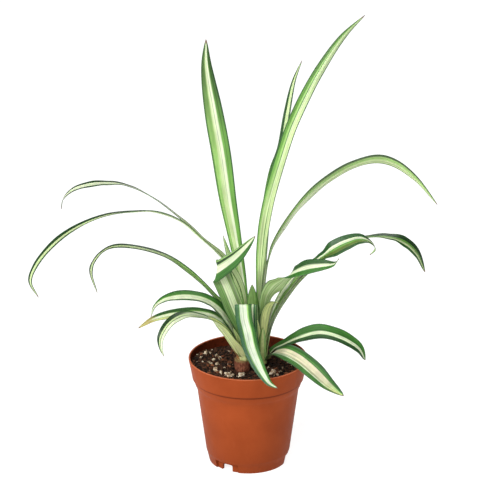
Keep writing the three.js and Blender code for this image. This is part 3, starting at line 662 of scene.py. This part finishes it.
def leaf_material(leaf, seed):
    shader = Shader(leaf.name, 0.42, 0.4, subsurface_weight=0.12, subsurface_radius=(0.5, 1.0, 0.25),
                    subsurface_scale=0.0012)
    u, along, _ = shader.split(shader.node("UVMap", uv_map="flat").outputs[0])
    under = shader.math("GREATER_THAN", u, 0.5)
    across = shader.minus(shader.minus(u, 0.25), shader.times(under, 0.5))
    across = shader.math("DIVIDE", across, FLAT_HALF_WIDTH)
    side = shader.math("ABSOLUTE", across)

    def grain(fine_across, fine_along, shift, scale, detail, roughness=0.5):
        """Noise that is finer by so much across the leaf and along it."""
        place = shader.place(shader.times(across, fine_across), shader.times(along, fine_along), seed + shift)
        return shader.noise(place, scale, detail, roughness)

    streak = grain(3.2, 1, 0, 1.6, 2)
    vein = grain(13, 1, 9, 1.2, 2, 0.6)
    line = grain(34, 1, 4, 1, 1)
    rib = grain(6.5, 0.7, 6, 1.3, 1)
    blotch = grain(1, 9, 2, 1.5, 3)
    wander = shader.times(shader.minus(streak, 0.5), 0.34)
    wander = shader.plus(wander, shader.times(shader.minus(vein, 0.5), 0.12))
    place = shader.plus(across, wander)
    colour = band_colours(shader, place, leaf.bands)
    if leaf.later:
        colour = shader.tint(colour, band_colours(shader, place, leaf.later), along, *leaf.later_from)
    # fine veins, lighter lines in the green and darker ones in the cream
    colour = shader.tint(colour, LIGHT, line, 0.58, 0.74, 0.6 * leaf.hatch)
    colour = shader.tint(colour, VEIN, vein, 0.5, 0.72, 0.45, "MULTIPLY")
    colour = shader.tint(colour, RIB, rib, 0.56, 0.64, leaf.ribs, "MULTIPLY")
    colour = shader.darken(colour, shader.step(blotch, 0.3, 0.7, 0.88, 1.1))
    if leaf.shade:
        top = shader.times(shader.step(along, 0.58, 0.95, 0, leaf.shade), shader.step(side, 0.16, 0.5))
        colour = shader.mix(top, colour, DARK, "MULTIPLY")
    # the paler under face
    pale = shader.tint(leaf.under_ink, LIGHT, vein, 0.35, 0.7)
    pale = shader.tint(pale, OLIVE, rib, 0.52, 0.6, 0.6)
    colour = shader.mix(under, colour, shader.mix(leaf.under, colour, pale))
    # the sheath, its earthy foot, the dark edge and the dry tip
    sheath = shader.tint(BASE, BASE_LINE, vein, 0.5, 0.66)
    sheath = shader.tint(sheath, GREEN, rib, 0.54, 0.6, 0.75)
    colour = shader.tint(colour, sheath, along, leaf.base_share, 0.02, 0.85)
    if leaf.foot:
        colour = shader.tint(colour, EARTH, along, leaf.foot, leaf.foot - 0.02)
    colour = shader.tint(colour, DARK, side, 0.84, 0.97, 0.7)
    dry = shader.plus(along, shader.times(shader.minus(blotch, 0.5), 0.02))
    tip_length = BROWN_TIP_LENGTH if leaf.tip == BROWN else DRY_TIP_LENGTH
    colour = shader.tint(colour, leaf.tip, dry, leaf.tip_start, leaf.tip_start + tip_length, 0.85)
    colour = shader.tint(colour, BROWN, dry, 0.985, 0.996)
    shader.bump(shader.plus(shader.times(vein, 0.6), shader.times(line, 0.4)), 0.00035, 0.6)
    rough = shader.plus(shader.step(vein, 0.2, 0.8, 0.36, 0.5), shader.times(under, 0.08))
    return shader.finish(colour, rough)


# Pot, soil and stems

def seeded_random(seed):
    """The same small number generator that lays the lumps in the solid."""
    state = seed
    while True:
        state = (state * 16807) % 2147483647
        yield state / 2147483647


def soil_lumps():
    numbers = seeded_random(SOIL_SEED)
    lumps = []
    for _ in range(SOIL_LUMPS):
        reach = SOIL_LUMP_REACH * sqrt(next(numbers))
        angle = next(numbers) * TAU
        size = 3 + 4 * next(numbers)
        height = SOIL_ROUGHNESS * (2 * next(numbers) - 0.8)
        lumps.append((*polar(reach, angle), size, height))
    return lumps


LUMPS = soil_lumps()


def soil_height(x, y):
    height = SOIL_LEVEL + SOIL_HEAP * smoothstep(-x, *HEAP_LEFT) * (1 - 0.6 * smoothstep(y, *HEAP_BACK))
    for lump_x, lump_y, size, lift in LUMPS:
        height += lift * exp(-((x - lump_x) ** 2 + (y - lump_y) ** 2) / size ** 2)
    for lift, fineness, level in SOIL_WAVES:
        height += lift * noise.noise(Vector((x, y, level)) * fineness)
    return height


def ring_quads(first, rings, sides):
    """Quads that join rings of points, the first of which begins at the point called first."""
    made = []
    for low in range(first, first + (rings - 1) * sides, sides):
        high = low + sides
        for side in range(sides):
            after = (side + 1) % sides
            made.append((low + side, low + after, high + after, high + side))
    return made


def lathe(name, outline, sides, material, node=None):
    """Turns an outline of (radius, height) pairs, which starts and ends on the axis."""
    points = [(0, 0, outline[0][1])]
    rings = outline[1:-1]
    for radius, height in rings:
        points += [(*polar(radius, TAU * side / sides), height) for side in range(sides)]
    points.append((0, 0, outline[-1][1]))
    top = len(points) - 1
    last = top - sides
    faces = ring_quads(1, len(rings), sides)
    for side in range(sides):
        after = (side + 1) % sides
        faces += [(0, 1 + after, 1 + side), (last + side, last + after, top)]
    return mesh_piece(name, points, faces, material, node=node)


def curve_points(start, middle, end, steps):
    """Points of a quadratic curve after its start."""
    start, middle, end = map(np.array, (start, middle, end))
    shares = [step / steps for step in range(1, steps + 1)]
    return [lerp(lerp(start, middle, share), lerp(middle, end, share), share) for share in shares]


def inner_wall_radius(height):
    share = (height - FOOT_STEP[1]) / (WALL_TOP[1] - FOOT_STEP[1])
    return lerp(FOOT_STEP[0], WALL_TOP[0], share) - WALL


def band_inner_radius(height):
    share = (height - BAND_BOTTOM[1]) / (POT_HEIGHT - BAND_BOTTOM[1])
    return lerp(BAND_BOTTOM[0], RIM_RADIUS, share) - BAND_WALL


def beside(corner, out, up):
    """A point a little beside a corner of an outline, where its rounding starts or ends."""
    return (corner[0] + out, corner[1] + up)


def pot_outline():
    pad = (CENTRE_PAD_RADIUS, 0)
    ring_inside = (FOOT_RADIUS - FOOT_RING_WIDTH, 0)
    ring_outside = (FOOT_RADIUS, 0)
    rim = (RIM_RADIUS, POT_HEIGHT)
    rim_inside = (RIM_RADIUS - BAND_WALL, POT_HEIGHT)
    return [
        # underneath: the centre pad, the floor and the ring that the pot stands on
        (0, 0), beside(pad, -0.4, 0), beside(pad, 0, 0.3),
        beside(pad, 0.5, FLOOR_UNDERSIDE - 0.3), beside(pad, 0.9, FLOOR_UNDERSIDE),
        beside(ring_inside, -0.4, FLOOR_UNDERSIDE), beside(ring_inside, 0, FLOOR_UNDERSIDE - 0.4),
        beside(ring_inside, 0.3, 0.3), beside(ring_inside, 0.6, 0),
        # outside: the foot, the wall, the shoulder, the band and the rolled lip
        beside(ring_outside, -0.6, 0), beside(ring_outside, -0.15, 0.2), beside(ring_outside, 0, 0.6),
        (lerp(FOOT_RADIUS, FOOT_TOP[0], 0.5), 5), FOOT_TOP, beside(FOOT_TOP, 0.35, 0.5),
        FOOT_STEP, beside(FOOT_STEP, 0.15, 0.7),
        *[tuple(lerp(a, b, step / 6) for a, b in zip(FOOT_STEP, WALL_TOP)) for step in range(1, 6)],
        WALL_TOP, *curve_points(WALL_TOP, beside(SHOULDER, -0.2, 0), beside(SHOULDER, 1.2, 2), 5),
        beside(BAND_BOTTOM, -1.35, -1.5), beside(BAND_BOTTOM, -1.15, -0.5),
        BAND_BOTTOM, beside(BAND_BOTTOM, 0.12, 0.6), (lerp(BAND_BOTTOM[0], RIM_RADIUS, 0.5), 86),
        beside(rim, -0.05, -1.6), beside(rim, 0, -0.8),
        *curve_points(beside(rim, 0, -0.8), rim, beside(rim, -0.75, 0), 4),
        *curve_points(beside(rim, -0.75, 0), rim_inside, beside(rim_inside, -0.05, -0.8), 4),
        # inside: down the wall to the floor
        beside(rim_inside, -0.2, -2), beside(BAND_BOTTOM, -BAND_WALL, 0),
        beside(SHOULDER, -WALL, 0), beside(WALL_TOP, -WALL, 0),
        (inner_wall_radius(FLOOR_CORNER_HEIGHT), FLOOR_CORNER_HEIGHT),
        (FLOOR_CORNER_RADIUS, FLOOR_TOP), (0, FLOOR_TOP),
    ]


def prism(name, shape, low, high):
    """A closed upright prism over a flat outline of (x, y) points, for cutting."""
    count = len(shape)
    points = [(x, y, z) for z in (low, high) for x, y in shape]
    faces = [tuple(reversed(range(count))), tuple(range(count, 2 * count))]
    faces += [(i, (i + 1) % count, count + (i + 1) % count, count + i) for i in range(count)]
    return new_object(name, new_mesh(name, points, faces))


def recess_cutter(heading):
    half = RECESS_WIDTH / 2 / FOOT_TOP[0]
    middle = radians(heading)
    angles = np.linspace(middle - half, middle + half, RECESS_STEPS)
    shape = [polar(CUT_OUTER_RADIUS, angle) for angle in angles]
    shape += [polar(RECESS_BACK_RADIUS, angle) for angle in reversed(angles)]
    return prism("recess", shape, -CUT_OVERLAP, RECESS_HEIGHT)


def notch_cutter(heading):
    half = NOTCH_WIDTH / 2
    arch = [(-half, -CUT_OVERLAP), (half, -CUT_OVERLAP)]
    for side, start in ((1, 0), (-1, pi / 2)):
        for step in range(NOTCH_CORNER_STEPS + 1):
            angle = start + step / NOTCH_CORNER_STEPS * pi / 2
            arch.append((side * (half - NOTCH_CORNER) + NOTCH_CORNER * cos(angle),
                         NOTCH_HEIGHT - NOTCH_CORNER + NOTCH_CORNER * sin(angle)))
    cutter = prism("notch", arch, NOTCH_INNER_RADIUS, CUT_OUTER_RADIUS)
    turn = radians(heading)
    for vertex in cutter.data.vertices:
        across, up, out = vertex.co
        x = out * cos(turn) - across * sin(turn)
        y = out * sin(turn) + across * cos(turn)
        vertex.co = (x, y, up)
    return cutter


def drain_cutter(index):
    x, y = polar(DRAIN_CIRCLE, (index + 0.5) * TAU / DRAIN_HOLES)
    angles = [TAU * side / DRAIN_SIDES for side in range(DRAIN_SIDES)]
    shape = [(x + DRAIN_RADIUS * cos(angle), y + DRAIN_RADIUS * sin(angle)) for angle in angles]
    return prism("drain", shape, -CUT_OVERLAP, FLOOR_TOP + CUT_OVERLAP)


def pot_material():
    shader = Shader("terracotta_plastic", 0.5, 0.06)
    place = shader.object_place()
    x, y, z = shader.split(place)
    flow = shader.noise(place, 34, 4, 0.55)
    grain = shader.noise(place, 2600, 2, 0.6)
    smear = shader.noise(shader.place(shader.times(x, 3), shader.times(y, 3), z), 60, 3, 0.6)
    colour = shader.tint(srgb(148, 65, 28), srgb(158, 71, 32), flow, 0.3, 0.7)
    colour = shader.tint(colour, srgb(172, 84, 50), smear, 0.55, 0.8, 0.18)
    low = shader.times(shader.step(z, 0.03, 0.0, 0, 0.3), shader.step(flow, 0.35, 0.65))
    colour = shader.mix(low, colour, srgb(124, 50, 26))
    # painted shade: the pot grows darker towards its foot
    colour = shader.darken(colour, shader.step(z, 0.064, 0.004, 1.0, 0.86))
    radius = shader.math("SQRT", shader.plus(shader.times(x, x), shader.times(y, y)))
    # how far a point is inside the outer face at its height, on the wall and on the band
    depth = shader.minus(shader.plus(shader.times(z, WALL_SLOPE), FACE_FOOT), radius)
    band_depth = shader.minus(shader.plus(shader.times(z, BAND_SLOPE), FACE_FOOT), radius)
    inner = shader.times(shader.step(band_depth, 0.0006, 0.0012, 0, 0.94), shader.step(z, *INNER_BAND_HIGH))
    inner = shader.times(inner, shader.step(z, *INNER_BAND_LOW))
    # the inside of the band is painted dark red-brown: partly soil stain, partly painted shade inside the pot
    stain_and_shade = shader.tint(srgb(92, 36, 20), srgb(44, 20, 12), shader.noise(place, 420, 4, 0.65), 0.5, 0.72)
    colour = shader.mix(inner, colour, stain_and_shade)
    # a painted highlight along the top of the rim's lip
    colour = shader.tint(colour, srgb(206, 118, 84), z, *LIP_HIGHLIGHT, 0.55)
    # painted shade: a dark line in the groove under the band's lower edge
    groove_shade = shader.times(shader.step(z, *GROOVE_SHADE_LOW, 0, 0.6), shader.step(z, *GROOVE_SHADE_HIGH))
    groove_shade = shader.times(groove_shade, shader.step(depth, 0.0004, 0.0))
    colour = shader.mix(groove_shade, colour, srgb(84, 32, 14))
    shader.bump(shader.plus(grain, shader.times(flow, 2)), 0.00008, 0.35)
    return shader.finish(colour, shader.step(smear, 0.3, 0.8, 0.46, 0.58))


def make_pot():
    pot = lathe("pot_shell", pot_outline(), POT_SIDES, pot_material(), "nursery_pot")
    cutters = [recess_cutter(heading) for heading in FOOT_RECESSES]
    cutters += [notch_cutter(heading) for heading in FOOT_RECESSES]
    cutters += [drain_cutter(index) for index in range(DRAIN_HOLES)]
    for index, cutter in enumerate(cutters):
        cut = pot.modifiers.new(f"cut_{index}", "BOOLEAN")
        cut.operation = "DIFFERENCE"
        cut.solver = "EXACT"
        cut.object = cutter
    with bpy.context.temp_override(object=pot, active_object=pot, selected_objects=[pot]):
        for modifier in list(pot.modifiers):
            bpy.ops.object.modifier_apply(modifier=modifier.name)
    for cutter in cutters:
        bpy.data.objects.remove(cutter)
    pot.data.set_sharp_from_angle(angle=radians(SHARP_ANGLE))


def soil_material():
    shader = Shader("potting_soil", 0.92, 0.25)
    place = shader.object_place()
    patch = shader.noise(place, 120, 4, 0.6)
    fine = shader.noise(place, 900, 3, 0.65)
    colour = shader.tint(srgb(22, 11, 6), srgb(62, 37, 22), fine, 0.35, 0.7)
    colour = shader.tint(colour, srgb(96, 60, 40), patch, 0.5, 0.7, 0.5)
    shader.bump(fine, 0.0008, 0.9)
    return shader.finish(colour)


def crumb_material(name, dark, light, scale, roughness=0.9):
    """Grains of one stuff, each a little lighter or darker than the next."""
    shader = Shader(name, roughness, 0.3)
    place = shader.object_place()
    tone = shader.noise(place, scale, 1)
    fine = shader.noise(place, 1500, 3, 0.6)
    colour = shader.tint(dark, light, tone, 0.35, 0.65)
    colour = shader.tint(colour, dark, fine, 0.55, 0.75, 0.35)
    shader.bump(fine, 0.0004, 0.7)
    return shader.finish(colour)


def in_crown(x, y, margin):
    return any(hypot(x - crown["x"], y - crown["y"]) < crown["radius"] * 0.9 + margin
               for crown in CROWNS.values())


def make_soil():
    rings = 90
    sides = 240
    corner = (inner_wall_radius(FLOOR_CORNER_HEIGHT), FLOOR_CORNER_HEIGHT)
    outline = [
        (0, FLOOR_TOP + GAP),
        (FLOOR_CORNER_RADIUS - GAP, FLOOR_TOP + GAP),
        beside(corner, -SOIL_GAP, GAP),
        beside(WALL_TOP, -WALL - SOIL_GAP, 0),
        beside(SHOULDER, -WALL - SOIL_GAP, GAP),
        beside(BAND_BOTTOM, -BAND_WALL - SOIL_GAP, GAP),
    ]
    outline += [(SOIL_EDGE_RADIUS * (1 - ring / rings), SOIL_LEVEL) for ring in range(rings)]
    outline.append((0, SOIL_LEVEL))
    soil = lathe("soil_bed", outline, sides, soil_material(), "potting_soil")
    for vertex in soil.data.vertices:
        x, y, z = (c / MM for c in vertex.co)
        if z > SOIL_LEVEL - 0.01:
            height = soil_height(x, y)
            spread = (band_inner_radius(height) - GAP) / SOIL_EDGE_RADIUS
            vertex.co = Vector((x * spread, y * spread, height)) * MM


def grain_mesh(detail):
    """The points and faces of a small ball that grains are made from."""
    ball = bmesh.new()
    bmesh.ops.create_icosphere(ball, subdivisions=detail, radius=1)
    points = [tuple(vertex.co) for vertex in ball.verts]
    faces = [tuple(vertex.index for vertex in face.verts) for face in ball.faces]
    ball.free()
    return points, faces


def grains(name, spots, detail, roughness, material, smooth=False):
    """Many separate grains in one piece. A spot is (x, y, z, size, flatness)."""
    base, base_faces = grain_mesh(detail)
    draw = random.Random(name).uniform
    points = []
    faces = []
    for x, y, z, size, flat in spots:
        start = len(points)
        stretch = Vector((draw(0.7, 1.2), draw(0.7, 1.2), flat))
        turn = Euler((draw(-0.5, 0.5), draw(-0.5, 0.5), draw(0, TAU))).to_matrix()
        offset = Vector((draw(0, 50), draw(0, 50), 0))
        for point in base:
            spot = Vector(point)
            swell = noise.noise(spot * 1.6 + offset) + 0.4 * noise.noise(spot * 3.7 + offset)
            spot *= 1 + roughness * swell
            spot = turn @ Vector(a * b for a, b in zip(spot, stretch))
            points.append((x + spot.x * size, y + spot.y * size, z + spot.z * size))
        faces += [tuple(start + index for index in face) for face in base_faces]
    mesh_piece(name, points, faces, material, smooth=smooth)


def scatter(seed, count, low, high, flat, lift):
    """Seeded spots over the soil, kept off the stems and off the pot's wall."""
    generator = random.Random(seed)
    spots = []
    while len(spots) < count:
        reach = GRAIN_REACH * sqrt(generator.random())
        x, y = polar(reach, generator.uniform(0, TAU))
        size = lerp(low, high, generator.random() ** 2.2)
        height = soil_height(x, y)
        if in_crown(x, y, size) or reach + size > band_inner_radius(height) - 0.2:
            continue
        spots.append((x, y, height + lift * size, size, flat * generator.uniform(0.8, 1.2)))
    return spots


# Grains of perlite where the large ones lie: x, y and radius
PERLITE_PLACES = [
    (-17.6, -23.2, 2.3), (-13.2, -24, 1.7), (-23.4, -20.2, 1.5), (-5.4, -22.8, 2.3), (-28, -14.6, 1.5),
    (-27.4, -18, 1.3), (-31.5, -4.2, 1.4), (-33.8, -2, 1.2), (-26.5, -2.6, 1.6), (-29.4, 6.6, 1.3),
    (-36.4, 17.6, 1.9), (-32.8, 20.4, 1.6), (-27.2, 16.2, 1.7), (-24.6, 12.6, 1.3), (-40.6, 7.4, 1.2),
    (-38.8, -2.2, 1), (21.2, -16.6, 2.5), (27.4, -14.6, 1.4), (24.8, -20.6, 1.4), (17.4, -6, 1.2),
    (29.8, -4.8, 1), (-20.2, -8.8, 1.1), (-14.8, -14.6, 1), (34.6, 4.8, 1.1), (-16.6, 30.2, 1.2),
]


def make_grains():
    peat = crumb_material("peat_crumbs", srgb(18, 10, 5), srgb(78, 47, 30), 320)
    spots = scatter(seed=11, count=PEAT_CRUMBS, low=0.35, high=1.5, flat=0.75, lift=0.25)
    grains("peat_crumbs", spots, 1, 0.55, peat)
    bark = crumb_material("bark_chips", srgb(74, 36, 20), srgb(140, 84, 54), 240)
    spots = scatter(seed=12, count=BARK_CHIPS, low=0.7, high=2.3, flat=0.4, lift=0.3)
    grains("bark_chips", spots, 2, 0.6, bark)
    perlite = crumb_material("perlite_grains", srgb(160, 130, 100), srgb(232, 216, 192), 520, 0.85)
    spots = scatter(seed=13, count=PERLITE_GRAINS, low=0.3, high=0.85, flat=0.7, lift=0.35)
    spots += [(x, y, soil_height(x, y) + 0.55 * size, size, 0.8) for x, y, size in PERLITE_PLACES]
    grains("perlite_grains", spots, 3, 1.15, perlite, smooth=True)


def stem_material():
    shader = Shader("fibrous_stem", 0.8, 0.25)
    place = shader.object_place()
    x, y, z = shader.split(place)
    fibre = shader.noise(shader.place(shader.times(x, 5), shader.times(y, 5), z), 170, 4, 0.65)
    patch = shader.noise(place, 260, 3, 0.6)
    colour = shader.tint(srgb(112, 58, 42), srgb(176, 112, 84), fibre, 0.3, 0.7)
    colour = shader.tint(colour, srgb(134, 66, 50), patch, 0.5, 0.72, 0.6)
    colour = shader.tint(colour, srgb(66, 38, 26), z, 0.0892, 0.0868)
    colour = shader.tint(colour, srgb(150, 128, 84), z, 0.0955, 0.0985)
    # the right stem shows as a pale sheath on its left and as earth on its right
    sheath = shader.tint(srgb(214, 220, 150), srgb(128, 150, 78), fibre, 0.4, 0.62)
    right = shader.times(shader.step(x, 0.003, 0.0034), shader.step(x, 0.0155, 0.0135))
    colour = shader.mix(right, colour, sheath)
    colour = shader.tint(colour, srgb(58, 36, 22), x, 0.0135, 0.0155)
    shader.bump(fibre, 0.0008, 0.8)
    return shader.finish(colour)


def make_stem(side, material):
    """A short stem with upright fibres, a little wider where it meets the leaves."""
    crown = CROWNS[side]
    points = []
    for ring in range(STEM_RINGS + 1):
        height = lerp(SOIL_LEVEL - STEM_SUNK, crown["top"], ring / STEM_RINGS)
        share = smoothstep(height, SOIL_LEVEL - 2, crown["top"])
        for index in range(STEM_SIDES):
            angle = TAU * index / STEM_SIDES
            fibre = noise.noise(Vector((*polar(5, angle), height * 0.1)))
            ragged = noise.noise(Vector((*polar(2, angle), height * 0.35)))
            out = crown["radius"] * lerp(0.84, 0.97, share) - 0.7 + 0.5 * fibre + 0.7 * ragged
            points.append((crown["x"] + out * cos(angle), crown["y"] + out * sin(angle), height))
    last = STEM_RINGS * STEM_SIDES
    faces = ring_quads(0, STEM_RINGS + 1, STEM_SIDES)
    faces += [tuple(reversed(range(STEM_SIDES))), tuple(range(last, last + STEM_SIDES))]
    mesh_piece(f"fibrous_stem_{side}", points, faces, material, node=f"crown_stem_{side}")


# Light, floor and camera

# The world is brighter on the left, from one strength to the other between these sides
WORLD_SIDES = (-0.8, 0.8)
WORLD_STRENGTHS = (1.25, 0.3)
FLOOR_REACH = 6000
FLOOR_GLOW = 0.85
FLOOR_GREY = 0.35
# Each light's name, place, the height that it aims at over the origin, size and power, in metres
LIGHTS = [
    ("key", (-1.5, -1.3, 1.6), 0.18, 1.0, 52),
    ("fill", (1.6, -1.8, 1.0), 0.15, 1.4, 4),
    ("back", (0.4, 1.6, 1.6), 0.25, 1.2, 14),
    ("front", (-0.5, -2.2, 1.15), 0.15, 0.9, 9),
    ("top", (0.5, -1.0, 2.3), 0.2, 1.4, 22),
]
CAMERA_TARGET = (1.71, 0, 192.7)
CAMERA_ELEVATION = 20.78
CAMERA_DISTANCE = 2.4
CAMERA_LENS = 204.5


def area_light(name, place, aim, size, power):
    light = bpy.data.lights.new(name, "AREA")
    light.shape = "DISK"
    light.size = size
    light.energy = power
    lamp = new_object(name, light)
    lamp.location = place
    lamp.rotation_euler = (Vector((0, 0, aim)) - Vector(place)).to_track_quat("-Z", "Y").to_euler()


def make_floor():
    corners = [(-FLOOR_REACH, -FLOOR_REACH, 0), (FLOOR_REACH, -FLOOR_REACH, 0)]
    corners += [(FLOOR_REACH, FLOOR_REACH, 0), (-FLOOR_REACH, FLOOR_REACH, 0)]
    floor = new_object("floor", new_mesh("floor", corners, [(0, 1, 2, 3)]))
    shader = Shader("pale_floor", 0.9, 0.1, emission_color=(1, 1, 1, 1), emission_strength=FLOOR_GLOW)
    floor.data.materials.append(shader.finish((FLOOR_GREY, FLOOR_GREY, FLOOR_GREY, 1)))


def make_world():
    world = bpy.data.worlds.new("studio")
    world.use_nodes = True
    tree = world.node_tree
    parts = tree.nodes.new("ShaderNodeSeparateXYZ")
    tree.links.new(tree.nodes.new("ShaderNodeTexCoord").outputs["Generated"], parts.inputs[0])
    sweep = tree.nodes.new("ShaderNodeMapRange")
    for socket, value in zip(sweep.inputs[1:5], WORLD_SIDES + WORLD_STRENGTHS):
        socket.default_value = value
    tree.links.new(parts.outputs[0], sweep.inputs[0])
    tree.links.new(sweep.outputs[0], tree.nodes["Background"].inputs[1])
    bpy.context.scene.world = world


def make_camera():
    elevation = radians(CAMERA_ELEVATION)
    data = bpy.data.cameras.new("camera")
    data.lens = CAMERA_LENS
    camera = new_object("camera", data)
    back = Vector((0, -cos(elevation), sin(elevation))) * CAMERA_DISTANCE
    camera.location = Vector(CAMERA_TARGET) * MM + back
    camera.rotation_euler = (radians(90) - elevation, 0, 0)
    bpy.context.scene.camera = camera


make_camera()
make_floor()
make_world()
for light in LIGHTS:
    area_light(*light)
bpy.context.scene.view_settings.view_transform = "Standard"
bpy.context.scene.view_settings.look = "None"
make_pot()
make_soil()
make_grains()
STEM = stem_material()
for stem_side in CROWNS:
    make_stem(stem_side, STEM)
for leaf_index, leaf in enumerate(LEAVES + SCALES):
    leaf_piece(leaf, leaf_material(leaf, leaf_index * LEAF_SEED_STEP))
